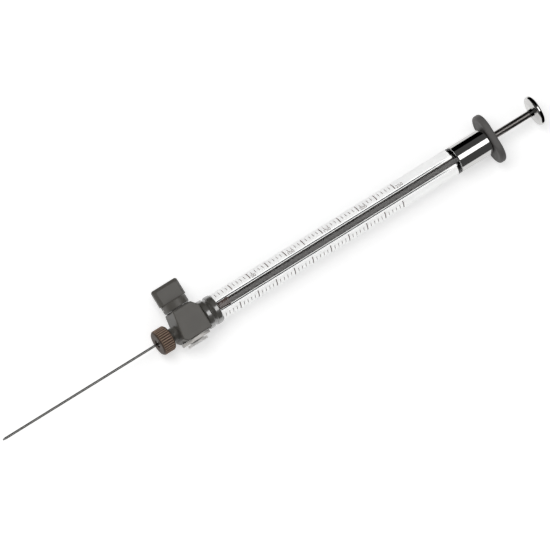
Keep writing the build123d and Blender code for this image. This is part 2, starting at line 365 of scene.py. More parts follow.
def mottle_group():
    """Uneven tone and gloss, as on any moulded or plated surface that has been handled."""
    group, given, result = new_group(
        "Mottle",
        [("Scale", "NodeSocketFloat", 900.0), ("Colour", "NodeSocketColor", (0.5, 0.5, 0.5, 1)),
         ("Spread", "NodeSocketFloat", 0.12), ("Roughness", "NodeSocketFloat", 0.4),
         ("Gloss spread", "NodeSocketFloat", 0.08)],
        [("Colour", "NodeSocketColor"), ("Roughness", "NodeSocketFloat"), ("Height", "NodeSocketFloat")],
    )
    link = group.links.new
    where = add(group, "ShaderNodeTexCoord")
    cloud = add(group, "ShaderNodeTexNoise")
    cloud.inputs["Detail"].default_value = 5
    link(where.outputs["Object"], cloud.inputs["Vector"])
    link(given.outputs["Scale"], cloud.inputs["Scale"])
    centred = add(group, "ShaderNodeMath", operation="SUBTRACT")
    centred.inputs[1].default_value = 0.5
    link(cloud.outputs["Fac"], centred.inputs[0])
    tone = add(group, "ShaderNodeMath", operation="MULTIPLY_ADD")
    tone.inputs[2].default_value = 1
    link(centred.outputs[0], tone.inputs[0])
    link(given.outputs["Spread"], tone.inputs[1])
    tinted = add(group, "ShaderNodeVectorMath", operation="SCALE")
    link(given.outputs["Colour"], tinted.inputs[0])
    link(tone.outputs[0], tinted.inputs["Scale"])
    gloss = add(group, "ShaderNodeMath", operation="MULTIPLY_ADD", use_clamp=True)
    link(centred.outputs[0], gloss.inputs[0])
    link(given.outputs["Gloss spread"], gloss.inputs[1])
    link(given.outputs["Roughness"], gloss.inputs[2])
    link(tinted.outputs[0], result.inputs["Colour"])
    link(gloss.outputs[0], result.inputs["Roughness"])
    link(cloud.outputs["Fac"], result.inputs["Height"])
    return group


def tool_lines_group():
    """Fine lines left by drawing, grinding or turning: the noise is stretched by the three scales."""
    group, given, result = new_group(
        "Tool lines",
        [("Scales", "NodeSocketVector", (1000.0, 1000.0, 1000.0)), ("Detail", "NodeSocketFloat", 3.0)],
        [("Height", "NodeSocketFloat")],
    )
    link = group.links.new
    where = add(group, "ShaderNodeTexCoord")
    stretched = add(group, "ShaderNodeVectorMath", operation="MULTIPLY")
    link(where.outputs["Object"], stretched.inputs[0])
    link(given.outputs["Scales"], stretched.inputs[1])
    lines = add(group, "ShaderNodeTexNoise")
    lines.inputs["Scale"].default_value = 1
    link(given.outputs["Detail"], lines.inputs["Detail"])
    link(stretched.outputs[0], lines.inputs["Vector"])
    link(lines.outputs["Fac"], result.inputs["Height"])
    return group


def wear_group():
    """A mask that grows from 0 to 1 between two distances from the barrel's axis, broken up by noise."""
    group, given, result = new_group(
        "Crest wear",
        [("Inner", "NodeSocketFloat", 0.003), ("Outer", "NodeSocketFloat", 0.0036),
         ("Breakup", "NodeSocketFloat", 0.3)],
        [("Mask", "NodeSocketFloat")],
    )
    link = group.links.new
    where = add(group, "ShaderNodeTexCoord")
    across = add(group, "ShaderNodeVectorMath", operation="MULTIPLY")
    across.inputs[1].default_value = (0, 1, 1)
    link(where.outputs["Object"], across.inputs[0])
    distance = add(group, "ShaderNodeVectorMath", operation="LENGTH")
    link(across.outputs[0], distance.inputs[0])
    ramp = add(group, "ShaderNodeMapRange", clamp=True)
    link(distance.outputs["Value"], ramp.inputs["Value"])
    link(given.outputs["Inner"], ramp.inputs["From Min"])
    link(given.outputs["Outer"], ramp.inputs["From Max"])
    spots = add(group, "ShaderNodeTexNoise")
    spots.inputs["Scale"].default_value = 1800
    link(where.outputs["Object"], spots.inputs["Vector"])
    broken = add(group, "ShaderNodeMath", operation="MULTIPLY")
    link(spots.outputs["Fac"], broken.inputs[0])
    link(given.outputs["Breakup"], broken.inputs[1])
    mask = add(group, "ShaderNodeMath", operation="SUBTRACT", use_clamp=True)
    link(ramp.outputs["Result"], mask.inputs[0])
    link(broken.outputs[0], mask.inputs[1])
    link(mask.outputs[0], result.inputs["Mask"])
    return group


def effect(name, maker):
    """The named node group, made the first time it is asked for."""
    return bpy.data.node_groups.get(name) or maker()


# ---- Finishes ----

def new_finish(name, base, roughness, spread, gloss_spread, scale, **constants):
    """A Principled finish with mottled colour and gloss. The constants go on the shader's own sockets."""
    material = bpy.data.materials.new(name)
    material.use_nodes = True
    tree, shader = shading_of(material)
    mottle = add(tree, "ShaderNodeGroup", name="Mottle", node_tree=effect("Mottle", mottle_group))
    mottle.inputs["Scale"].default_value = scale
    mottle.inputs["Colour"].default_value = (*base, 1)
    mottle.inputs["Spread"].default_value = spread
    mottle.inputs["Roughness"].default_value = roughness
    mottle.inputs["Gloss spread"].default_value = gloss_spread
    tree.links.new(mottle.outputs["Colour"], shader.inputs["Base Color"])
    tree.links.new(mottle.outputs["Roughness"], shader.inputs["Roughness"])
    for socket, value in constants.items():
        shader.inputs[socket.replace("_", " ")].default_value = value
    return material


def shading_of(material):
    """The material's node tree and its Principled shader."""
    return material.node_tree, material.node_tree.nodes["Principled BSDF"]


def add_lines(material, scales, strength, distance):
    """Feeds the tool lines into the shader's normal."""
    tree, shader = shading_of(material)
    lines = add(tree, "ShaderNodeGroup", node_tree=effect("Tool lines", tool_lines_group))
    lines.inputs["Scales"].default_value = scales
    bump = add(tree, "ShaderNodeBump")
    bump.inputs["Strength"].default_value = strength
    bump.inputs["Distance"].default_value = distance
    tree.links.new(lines.outputs["Height"], bump.inputs["Height"])
    tree.links.new(bump.outputs["Normal"], shader.inputs["Normal"])


def moulded_finish(name, base, roughness, grain, **constants):
    """Moulded plastic: a fine grain and a faint cloudiness."""
    material = new_finish(name, base, roughness, 0.22, 0.14, 700, **constants)
    add_lines(material, (6000, 6000, 6000), grain, 0.01 * MM)
    return material


def metal_finish(name, base, roughness, scales, line_depth, **constants):
    """Metal with the lines of its making, stretched along or across the part."""
    constants = {"Metallic": 1.0, **constants}
    material = new_finish(name, base, roughness, 0.18, 0.12, 500, **constants)
    add_lines(material, scales, line_depth, 0.005 * MM)
    return material


def finish(slot):
    """The finish of one material slot, made the first time it is asked for. The frame's own materials have the
    slots' names, so a finish has a name of its own."""
    name = slot.replace("_", " ").capitalize()
    return bpy.data.materials.get(name) or make_finish(slot, name)


# Tool lines run along the barrel, round it, or round the plug
ALONG_BARREL, ROUND_BARREL, ROUND_PLUG = (60, 9000, 9000), (14000, 300, 300), (2500, 9000, 2500)

# Slot: colour, roughness, scales of the tool lines, their depth, the shader's constants
METALS = {
    "needle_steel": ("needle_steel", 0.34, ALONG_BARREL, 0.5, {}),
    "rod_steel": ("rod_steel", 0.36, ROUND_BARREL, 0.15, {}),
    "bright_steel": ("bright_steel", 0.55, ROUND_PLUG, 0.4, {"Metallic": 0.3}),
    "polished_chrome": ("chrome", 0.07, ROUND_BARREL, 0.04, {}),
}

# Slot: colour, roughness, depth of the grain, the shader's constants
POLYMERS = {
    "valve_grey": ("valve_plastic", 0.46, 0.35, {"IOR": 1.7}),
    "collar_grey": (
        "collar_plastic", 0.30, 0.05, {"IOR": 2.2, "Coat_Weight": 1.0, "Coat_IOR": 2.0, "Coat_Roughness": 0.10}
    ),
    "flange_grey": ("flange_plastic", 0.55, 0.5, {}),
    "white_seal": ("white_seal", 0.42, 0.2, {}),
    "tip_polymer": ("tip_polymer", 0.38, 0.2, {}),
    "seal_rubber": ("seal_rubber", 0.6, 0.4, {}),
}


def make_finish(slot, name):
    """Makes the finish of one material slot with the user's colours."""
    colours = bpy.context.scene.microsyringe_colours
    for looks, maker in ((METALS, metal_finish), (POLYMERS, moulded_finish)):
        if slot in looks:
            shade, *look, constants = looks[slot]
            return maker(name, getattr(colours, shade), *look, **constants)
    special = {"nut_bronze": bronze_finish, "clear_glass": glass_finish, "scale_ink": ink_finish}
    return special[slot](name, colours)


def bronze_finish(name, colours):
    """Browned metal, worn lighter on the knurl's crests and dark in its roots."""
    material = new_finish(
        name, colours.nut_bronze, 0.45, 0.5, 0.2, 1400, Metallic=0.3, Specular_IOR_Level=0.2
    )
    tree, shader = shading_of(material)
    crest = radius_of("needle_nut")
    wear = add(tree, "ShaderNodeGroup", node_tree=effect("Crest wear", wear_group))
    wear.inputs["Inner"].default_value = crest - 0.25 * MM
    wear.inputs["Outer"].default_value = crest
    wear.inputs["Breakup"].default_value = 0.35
    worn = add(tree, "ShaderNodeMix", data_type="RGBA")
    worn.inputs["A"].default_value = (*[0.35 * c for c in colours.nut_bronze], 1)
    tree.links.new(wear.outputs["Mask"], worn.inputs["Factor"])
    bright = add(tree, "ShaderNodeVectorMath", operation="SCALE")
    bright.inputs["Scale"].default_value = 1.9
    tree.links.new(tree.nodes["Mottle"].outputs["Colour"], bright.inputs[0])
    tree.links.new(bright.outputs[0], worn.inputs["B"])
    tree.links.new(worn.outputs["Result"], shader.inputs["Base Color"])
    add_lines(material, (9000, 900, 900), 0.4, 0.01 * MM)
    return material


def glass_finish(name, colours):
    """Clear glass. Rays from the lamps go straight through it, weaker towards its edges, for a soft shadow."""
    material = new_finish(
        name, (0.985, 0.99, 0.985), 0.0, 0.02, 0.02, 400, Transmission_Weight=1.0, IOR=1.47,
        Specular_IOR_Level=0.25,
    )
    tree, shader = shading_of(material)
    path = add(tree, "ShaderNodeLightPath")
    clear = add(tree, "ShaderNodeBsdfTransparent")
    edge = add(tree, "ShaderNodeLayerWeight")
    passed = add(tree, "ShaderNodeMix", data_type="RGBA")
    passed.inputs["A"].default_value = (0.92, 0.92, 0.92, 1)
    passed.inputs["B"].default_value = (0.25, 0.25, 0.25, 1)
    tree.links.new(edge.outputs["Facing"], passed.inputs["Factor"])
    tree.links.new(passed.outputs["Result"], clear.inputs["Color"])
    mixed = add(tree, "ShaderNodeMixShader")
    out = tree.nodes["Material Output"]
    tree.links.new(path.outputs["Is Shadow Ray"], mixed.inputs["Fac"])
    tree.links.new(shader.outputs["BSDF"], mixed.inputs[1])
    tree.links.new(clear.outputs["BSDF"], mixed.inputs[2])
    tree.links.new(mixed.outputs["Shader"], out.inputs["Surface"])
    return material


def ink_finish(name, colours):
    """Fired ink, thinner in places."""
    return new_finish(name, colours.scale_ink, 0.5, 0.6, 0.2, 2500)


# ---- Pieces ----

class StepOperator:
    """What every step of the build shares"""

    bl_options = {"REGISTER", "UNDO"}

    def execute(self, context):
        self.build(context.scene.microsyringe_sizes, context)
        clear_selection()
        return {"FINISHED"}


class MICROSYRINGE_OT_needle(StepOperator, bpy.types.Operator):
    """Model the needle as a drawn tube with a bevelled point, and finish its ferrule"""

    bl_idname = "microsyringe.needle"
    bl_label = "Needle"

    def build(self, sizes, context):
        start, end = extent("needle")
        outer, inner, tail = radius_of("needle"), sizes.needle_bore / 2, 0.345 * MM
        taper_start = 0
        tube = turned(
            "needle_tube",
            [(start, inner), (start, outer), (taper_start, outer), (end, tail), (end, inner), (start, inner)],
            steps=48,
        )
        pick_vertices(tube, lambda at: True)
        slope = math.tan(sizes.needle_bevel)
        bpy.ops.mesh.bisect(
            plane_co=(start, 0, outer), plane_no=Vector((-slope, 0, -1)).normalized(), clear_outer=True
        )
        pick_open_edges()
        bpy.ops.mesh.bridge_edge_loops()
        close_up()
        tidy_shading(tube, 25)
        place(tube, "needle", "needle_steel", finish("needle_steel"), "needle")
        refinish("needle_ferrule", finish("needle_steel"))


class MICROSYRINGE_OT_nut(StepOperator, bpy.types.Operator):
    """Model the knurled nut, with its recess round the needle"""

    bl_idname = "microsyringe.nut"
    bl_label = "Knurled nut"

    def build(self, sizes, context):
        start, end = extent("needle_nut")
        crest = radius_of("needle_nut")
        land, chamfer = sizes.knurl_land, 0.3 * MM
        ring = crest - 0.12 * MM
        recess, recess_depth = 1.15 * MM, 0.45 * MM
        bore, lead_in, wall = STUD_RADIUS + FIT, 0.15 * MM, 1.1 * MM
        hole = 0.75 * MM + FIT
        run_in = 0.12 * MM
        nut = turned(
            "knurled_nut",
            [(start, recess), (start, ring - chamfer), (start + chamfer, ring), (start + land, ring),
             (start + land + run_in, crest), (end - land - run_in, crest), (end - land, ring),
             (end - chamfer, ring), (end, ring - chamfer), (end, bore + lead_in), (end - lead_in, bore),
             (start + wall, bore), (start + wall, hole), (start + recess_depth, hole),
             (start + recess_depth, recess), (start, recess)],
            steps=4 * sizes.knurl_teeth,
        )

        def in_root(at):
            column = round(math.atan2(at.y, at.z) / TURN * 4 * sizes.knurl_teeth) % 4
            return math.hypot(at.y, at.z) > crest - HAIR and column in (0, 1)

        pick_vertices(nut, in_root)
        shrink = (crest - sizes.knurl_depth) / crest
        bpy.ops.transform.resize(value=(1, shrink, shrink), center_override=(0, 0, 0))
        bpy.ops.object.mode_set(mode="OBJECT")
        soften(nut, 0.03 * MM, 2, 40)
        tidy_shading(nut, 35)
        place(nut, "nut", "nut_bronze", finish("nut_bronze"), "needle_nut")


def helical_ridge(name, start, turns, pitch, root, crest):
    """A thread's ridge wound along the barrel's axis, with both ends closed and sunk into the core."""
    foot = 0.42 * pitch
    middle = start + foot
    draw_line([Vector((x, 0, r)) for x, r in
               [(middle - foot, root), (middle, crest), (middle + foot, root), (middle - foot, root)]])
    close_up()
    ridge = settle(name)
    apply_modifier(ridge, "SCREW", axis="X", screw_offset=pitch, iterations=turns, steps=40, render_steps=40)
    pick_vertices(ridge, lambda at: False)
    pick_open_edges()
    sink = 0.97 * root / crest
    bpy.ops.transform.resize(value=(1, sink, sink), center_override=(0, 0, 0))
    bpy.ops.mesh.fill_holes(sides=0)
    close_up()
    return ridge


class MICROSYRINGE_OT_valve_body(StepOperator, bpy.types.Operator):
    """Model the valve's moulded block with its threaded stud and its stub"""

    bl_idname = "microsyringe.valve_body"
    bl_label = "Valve body"

    def build(self, sizes, context):
        low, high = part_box("valve_body")
        bare_stud, collar_gap = 1.8 * MM, 0.2 * MM
        stud_tip, back = low.x, extent("barrel_collar")[0] - collar_gap
        front = extent("needle_nut")[1] + bare_stud
        heel, lean = 1.0 * MM, 1.4 * MM
        shoulder, shoulder_drop = 1.6 * MM, 1.9 * MM
        body = block("valve_block", (front, low.y, low.z), (back, high.y, high.z))
        corners = [
            ((front, low.y + heel), (front + lean, high.y), (-1, 0)),
            ((front, low.y + heel), (front + heel, low.y), (-1, -1)),
            ((back, high.y - shoulder_drop), (back - shoulder, high.y), (1, 1)),
        ]
        for first, second, outward in corners:
            along = Vector(second) - Vector(first)
            across = Vector((-along.y, along.x))
            if across.dot(Vector(outward)) < 0:
                across = -across
            pick_vertices(body, lambda at: True)
            bpy.ops.mesh.bisect(
                plane_co=(*first, 0), plane_no=(*across.normalized(), 0), use_fill=True, clear_outer=True
            )
            close_up()
        soften(body, sizes.body_fillet, 5, 12)
        pitch, root, lead = sizes.thread_pitch, STUD_RADIUS - sizes.thread_depth, 0.1 * MM
        root_x = front + lean
        stud = turned("stud", [(stud_tip, 0), (stud_tip, root - lead), (stud_tip + lead, root),
                               (root_x, root), (root_x, 0)])
        combine(body, stud, "UNION")
        stub_end, chamfer = high.x, 0.25 * MM
        stub = turned("stub", [(back - heel, 0), (back - heel, STUB_RADIUS), (stub_end - chamfer, STUB_RADIUS),
                               (stub_end, STUB_RADIUS - chamfer), (stub_end, 0)])
        combine(body, stub, "UNION")
        plug, seal, channel = 2.3 * MM + FIT, 1.2 * MM + FIT, 0.25 * MM
        past = heel
        seal_end = extent("needle_seal")[1]
        holes = [
            bar("plug_bore", low.y - past, high.y + past, plug, PLUG_AXIS, plug_centre()),
            bar("seal_pocket", stud_tip - past, seal_end, seal, steps=48),
            bar("channel", stud_tip - past, stub_end + past, channel, steps=24),
        ]
        for hole in holes:
            combine(body, hole, "DIFFERENCE")
        turns = int((front - stud_tip) / pitch) - 1
        ridge = helical_ridge("stud_thread", stud_tip + lead, turns, pitch, root - FIT, STUD_RADIUS)
        join([body, ridge])
        tidy_shading(body, 30)
        place(body, "barrel", "valve_grey", finish("valve_grey"), "valve_body")


class MICROSYRINGE_OT_knob(StepOperator, bpy.types.Operator):
    """Model the knob, a round skirt with a flat paddle, and finish its pin"""

    bl_idname = "microsyringe.knob"
    bl_label = "Knob"

    def build(self, sizes, context):
        low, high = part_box("valve_knob")
        centre = plug_centre()
        skirt_radius, paddle_half = 3.8 * MM, 4.1 * MM
        skirt_top = low.y + 2.3 * MM
        chamfer, lip = 0.25 * MM, 0.1 * MM
        socket, socket_end = 1.7 * MM + FIT, low.y + 2.15 * MM
        knob = turned(
            "knob",
            [(low.y, socket), (low.y, skirt_radius - lip), (low.y + lip, skirt_radius),
             (skirt_top - chamfer, skirt_radius), (skirt_top, skirt_radius - chamfer), (skirt_top, 0),
             (socket_end, 0), (socket_end, socket), (low.y, socket)],
            PLUG_AXIS, centre,
        )
        half_t, drop = 1.5 * MM, 0.9 * MM
        slab, sunk = half_t - drop, 0.05 * MM
        paddle = block(
            "paddle", (centre[0] - paddle_half, skirt_top - sunk, -slab),
            (centre[0] + paddle_half, high.y, slab),
        )
        pick_edges(paddle, lambda a, b: min(a.y, b.y) > high.y - HAIR and abs(a.z - b.z) > slab)
        corner = 0.7 * MM
        bevel_picked(corner, 6)
        narrow = 1 - sizes.paddle_bevel / paddle_half
        shorter = 1 - sizes.paddle_bevel / (high.y - skirt_top + sunk)
        for side in (-1, 1):
            pick_faces(paddle, lambda face: face.normal.z * side > 0.9)
            bpy.ops.mesh.extrude_region_move(TRANSFORM_OT_translate={"value": (0, 0, side * drop)})
            bpy.ops.transform.resize(
                value=(narrow, shorter, 1), center_override=(centre[0], skirt_top - sunk, side * half_t)
            )
            bpy.ops.object.mode_set(mode="OBJECT")
        soften(paddle, 0.14 * MM, 3, 25)
        combine(knob, paddle, "UNION")
        pin_low, pin_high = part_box("knob_pin")
        pin_y, pin_radius = (pin_low.y + pin_high.y) / 2, (pin_high.y - pin_low.y) / 2
        reach = skirt_radius + 1 * MM
        pin_hole = bar("pin_hole", centre[0] - reach, centre[0] + reach, pin_radius + FIT,
                       BARREL_AXIS, (0, pin_y, 0), steps=48)
        combine(knob, pin_hole, "DIFFERENCE")
        tidy_shading(knob, 30)
        place(knob, "plug", "valve_grey", finish("valve_grey"), "valve_knob")
        refinish("knob_pin", finish("bright_steel"))


class MICROSYRINGE_OT_plug_fixings(StepOperator, bpy.types.Operator):
    """Model the white washer and the slotted screw that hold the plug, and finish the plug"""

    bl_idname = "microsyringe.plug_fixings"
    bl_label = "Plug fixings"

    def build(self, sizes, context):
        centre = plug_centre()
        low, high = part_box("plug_washer")
        outer, inner = (high.z - low.z) / 2, 1.32 * MM
        washer = turned(
            "retaining_washer",
            [(low.y, inner), (low.y, outer), (high.y, outer), (high.y, inner), (low.y, inner)],
            PLUG_AXIS, centre,
        )
        soften(washer, 0.1 * MM, 3, 60)
        tidy_shading(washer)
        place(washer, "plug", "white_seal", finish("white_seal"), "plug_washer")
        low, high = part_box("plug_screw")
        head, head_top = (high.z - low.z) / 2, low.y + 0.75 * MM
        shank, point = 0.8 * MM, 0.2 * MM
        screw = turned(
            "slotted_screw",
            [(low.y, 0), (low.y, head), (head_top, head), (head_top, shank), (high.y - point, shank),
             (high.y, shank - point), (high.y, 0)],
            PLUG_AXIS, centre,
        )
        pick_edges(screw, lambda a, b: abs(a.y - low.y) < HAIR and abs(b.y - low.y) < HAIR
                   and min(math.hypot(a.x - centre[0], a.z), math.hypot(b.x - centre[0], b.z)) > head - HAIR)
        bevel_picked(0.18 * MM, 4)
        slot_half, slot_depth = 0.3 * MM, 0.35 * MM
        slot = block("slot", (centre[0] - 2 * head, low.y - head, -slot_half),
                     (centre[0] + 2 * head, low.y + slot_depth, slot_half))
        combine(screw, slot, "DIFFERENCE")
        tidy_shading(screw)
        place(screw, "plug", "bright_steel", finish("bright_steel"), "plug_screw")
        refinish("spring_washer", finish("bright_steel"))
        refinish("valve_plug", finish("white_seal"))
        for ring in ("plug_ring_low", "plug_ring_high"):
            refinish(ring, finish("seal_rubber"))


class MICROSYRINGE_OT_seals(StepOperator, bpy.types.Operator):
    """Finish the seals and the bushes, which keep their CAD shape, and paint the knob's washer dark as the
    shade of its seam
    """

    bl_idname = "microsyringe.seals"
    bl_label = "Seals"

    def build(self, sizes, context):
        for node in ("needle_seal", "barrel_seat", "plunger_guide"):
            refinish(node, finish("white_seal"))
        # The knob's washer is a white seal, but it gets the dark flange grey: painted shade for the recessed
        # seam between the valve body and the knob.
        refinish("thrust_washer", finish("flange_grey"))


class MICROSYRINGE_OT_collar(StepOperator, bpy.types.Operator):
    """Model the collar of two rounded rings that holds the glass"""

    bl_idname = "microsyringe.collar"
    bl_label = "Collar"

    def build(self, sizes, context):
        start, end = extent("barrel_collar")
        outer = radius_of("barrel_collar")
        floor = outer - sizes.collar_groove
        groove_half, groove_dip, middle = 0.35 * MM, 0.15 * MM, (start + end) / 2
        seat_start = extent("glass_barrel")[0]
        stub, spigot = STUB_RADIUS + FIT, FRONT_SPIGOT_RADIUS + FIT
        collar = turned(
            "collar",
            [(start, stub), (start, outer), (middle - groove_half, outer), (middle - groove_half, floor),
             (middle, floor - groove_dip), (middle + groove_half, floor), (middle + groove_half, outer),
             (end, outer), (end, spigot), (seat_start, spigot), (seat_start, stub), (start, stub)],
            steps=128,
        )
        pick_rims(collar, outer)
        bevel_picked(sizes.collar_round, 7)
        tidy_shading(collar, 40)
        place(collar, "barrel", "collar_grey", finish("collar_grey"), "barrel_collar")


class MICROSYRINGE_OT_glass_barrel(StepOperator, bpy.types.Operator):
    """Model the glass barrel with its two spigots and its bore"""

    bl_idname = "microsyringe.glass_barrel"
    bl_label = "Glass barrel"

    def build(self, sizes, context):
        start, end = extent("glass_barrel")
        step_in, step_out = extent("barrel_collar")[1], extent("barrel_cap")[0]
        outer, bore, shoulder = radius_of("glass_barrel"), 1.15 * MM, 0.15 * MM
        glass = turned(
            "barrel_glass",
            [(start, bore), (start, FRONT_SPIGOT_RADIUS), (step_in, FRONT_SPIGOT_RADIUS),
             (step_in, outer - shoulder), (step_in + shoulder, outer), (step_out - shoulder, outer),
             (step_out, outer - shoulder), (step_out, REAR_SPIGOT_RADIUS), (end, REAR_SPIGOT_RADIUS),
             (end, bore), (start, bore)],
            steps=192,
        )
        soften(glass, 0.05 * MM, 2, 40)
        tidy_shading(glass, 30)
        place(glass, "barrel", "clear_glass", finish("clear_glass"), "glass_barrel")


def turn_round_barrel(piece, angle):
    """Turns a piece round the barrel's axis and puts the turn into its mesh."""
    make_active(piece)
    piece.matrix_world = Matrix.Rotation(angle, 4, "X")
    bpy.ops.object.transform_apply(location=True, rotation=True, scale=True)


def copy_along(piece, name, distance):
    """A copy of the piece, with its own mesh, further along the barrel."""
    make_active(piece)
    bpy.ops.object.duplicate(linked=False)
    bpy.ops.transform.translate(value=(distance, 0, 0))
    return settle(name)


class MICROSYRINGE_OT_scale(StepOperator, bpy.types.Operator):
    """Print the scale on the glass: long and short marks on both sides, and its figures"""

    bl_idname = "microsyringe.scale"
    bl_label = "Scale"

    def arc(self, name, at, width, from_angle, to_angle, radius):
        """A mark that follows the glass between two angles from its top line."""
        low, high = radius, radius + INK
        near, far = at - width / 2, at + width / 2
        outline = [(near, 0, low), (far, 0, low), (far, 0, high), (near, 0, high), (near, 0, low)]
        draw_line([Vector(point) for point in outline])
        bpy.ops.mesh.remove_doubles(threshold=HAIR)
        bpy.ops.mesh.select_all(action="SELECT")
        bpy.ops.mesh.edge_face_add()
        bpy.ops.mesh.spin(steps=8, angle=from_angle - to_angle, center=ON_BARREL, axis=BARREL_AXIS)
        close_up()
        mark = settle(name)
        turn_round_barrel(mark, from_angle)
        return mark

    def build(self, sizes, context):
        zero = extent("plunger_tip")[0]
        radius = radius_of("glass_barrel")
        ink = finish("scale_ink")
        intervals, short_between = 10, 4
        short_step = sizes.mark_spacing / (short_between + 1)
        long_arc = (math.radians(30), math.radians(68))
        short_arc = (math.radians(40), math.radians(60))
        marks = []
        for side in (-1, 1):
            long_span, short_span = (sorted((-side * a, -side * b)) for a, b in (long_arc, short_arc))
            long_mark = self.arc("long", zero, sizes.mark_width, *long_span, radius)
            short_mark = self.arc("short", zero, 0.6 * sizes.mark_width, *short_span, radius)
            for k in range(intervals + 1):
                at = k * sizes.mark_spacing
                marks.append(copy_along(long_mark, "mark", at))
                if k == intervals:
                    continue
                for n in range(short_between):
                    marks.append(copy_along(short_mark, "mark", at + short_step * (n + 1)))
            bpy.data.objects.remove(long_mark)
            bpy.data.objects.remove(short_mark)
        join(marks)
        scale = settle("scale_marks")
        tidy_shading(scale, 30)
        place(scale, "barrel", "clear_glass", ink)
        figures = []
        volume_per_interval, gap, figure_angle = 25, 0.45 * MM, math.radians(34)
        for k in range(2, intervals + 1, 2):
            clear_selection()
            at = zero + k * sizes.mark_spacing + gap
            bpy.ops.object.text_add(location=(at, 0, 0))
            text = bpy.context.object
            text.data.body = str(volume_per_interval * k)
            text.data.size = sizes.figure_height
            text.data.align_y = "CENTER"
            text.data.extrude = 0
            bpy.ops.object.convert(target="MESH")
            figure = settle("figure")
            pick_vertices(figure, lambda at: True)
            bpy.ops.mesh.subdivide(number_cuts=2)
            bpy.ops.transform.translate(value=(0, 0, radius + 1 * MM))
            bpy.ops.object.mode_set(mode="OBJECT")
            apply_modifier(figure, "SHRINKWRAP", target=bpy.data.objects["barrel_glass"],
                           wrap_method="PROJECT", use_project_z=True, use_negative_direction=True,
                           use_positive_direction=False, offset=INK)
            turn_round_barrel(figure, -figure_angle)
            figures.append(figure)
        join(figures)
        numbers = settle("scale_figures")
        apply_modifier(numbers, "SOLIDIFY", thickness=INK, offset=-1)
        place(numbers, "barrel", "clear_glass", ink)


class MICROSYRINGE_OT_cap(StepOperator, bpy.types.Operator):
    """Model the chrome cap on the barrel's rear end"""

    bl_idname = "microsyringe.cap"
    bl_label = "Chrome cap"

    def build(self, sizes, context):
        start, end = extent("barrel_cap")
        back = extent("finger_flange")[0]
        outer, neck = radius_of("barrel_cap"), CAP_NECK_RADIUS
        bore, hole = REAR_SPIGOT_RADIUS + FIT, 1.5 * MM + FIT
        guide_flange = 0.5 * MM
        floor = extent("plunger_guide")[0] + guide_flange
        taper, drop, chamfer = sizes.cap_taper, 0.08 * MM, 0.5 * MM
        cap = turned(
            "cap",
            [(start, bore), (start, outer - drop), (start + taper, outer), (back - chamfer, outer),
             (back, outer - chamfer), (back, neck), (end, neck), (end, hole), (floor, hole), (floor, bore),
             (start, bore)],
            steps=160,
        )
        soften(cap, 0.08 * MM, 4, 30)
        tidy_shading(cap, 30)
        place(cap, "barrel", "polished_chrome", finish("polished_chrome"), "barrel_cap")


class MICROSYRINGE_OT_finger_flange(StepOperator, bpy.types.Operator):
    """Model the oval finger flange"""

    bl_idname = "microsyringe.finger_flange"
    bl_label = "Finger flange"

    def build(self, sizes, context):
        low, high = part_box("finger_flange")
        thickness, half_width = high.x - low.x, (high.z - low.z) / 2
        shift = (high.y - low.y) / 2 - half_width
        clear_selection()
        bpy.ops.mesh.primitive_cylinder_add(
            vertices=128, radius=half_width, depth=thickness, location=((low.x + high.x) / 2, 0, 0),
            rotation=(0, math.pi / 2, 0),
        )
        flange = settle("flange")
        for side in (-1, 1):
            pick_vertices(flange, lambda at: at.y * side > HAIR)
            bpy.ops.transform.translate(value=(0, side * shift, 0))
            bpy.ops.object.mode_set(mode="OBJECT")
        pick_edges(flange, lambda a, b: abs(a.x - b.x) < HAIR)
        bevel_picked(sizes.flange_round, 7)
        broad = 20 * MM * MM
        pick_faces(flange, lambda face: abs(face.normal.x) > 0.99 and face.calc_area() > broad)
        bpy.ops.mesh.inset(thickness=0.7 * MM, depth=0)
        bpy.ops.mesh.inset(thickness=0.35 * MM, depth=-0.12 * MM)
        bpy.ops.object.mode_set(mode="OBJECT")
        hole = bar("neck_hole", low.x - thickness, high.x + thickness, CAP_NECK_RADIUS + FIT)
        combine(flange, hole, "DIFFERENCE")
        tidy_shading(flange, 35)
        place(flange, "barrel", "flange_grey", finish("flange_grey"), "finger_flange")


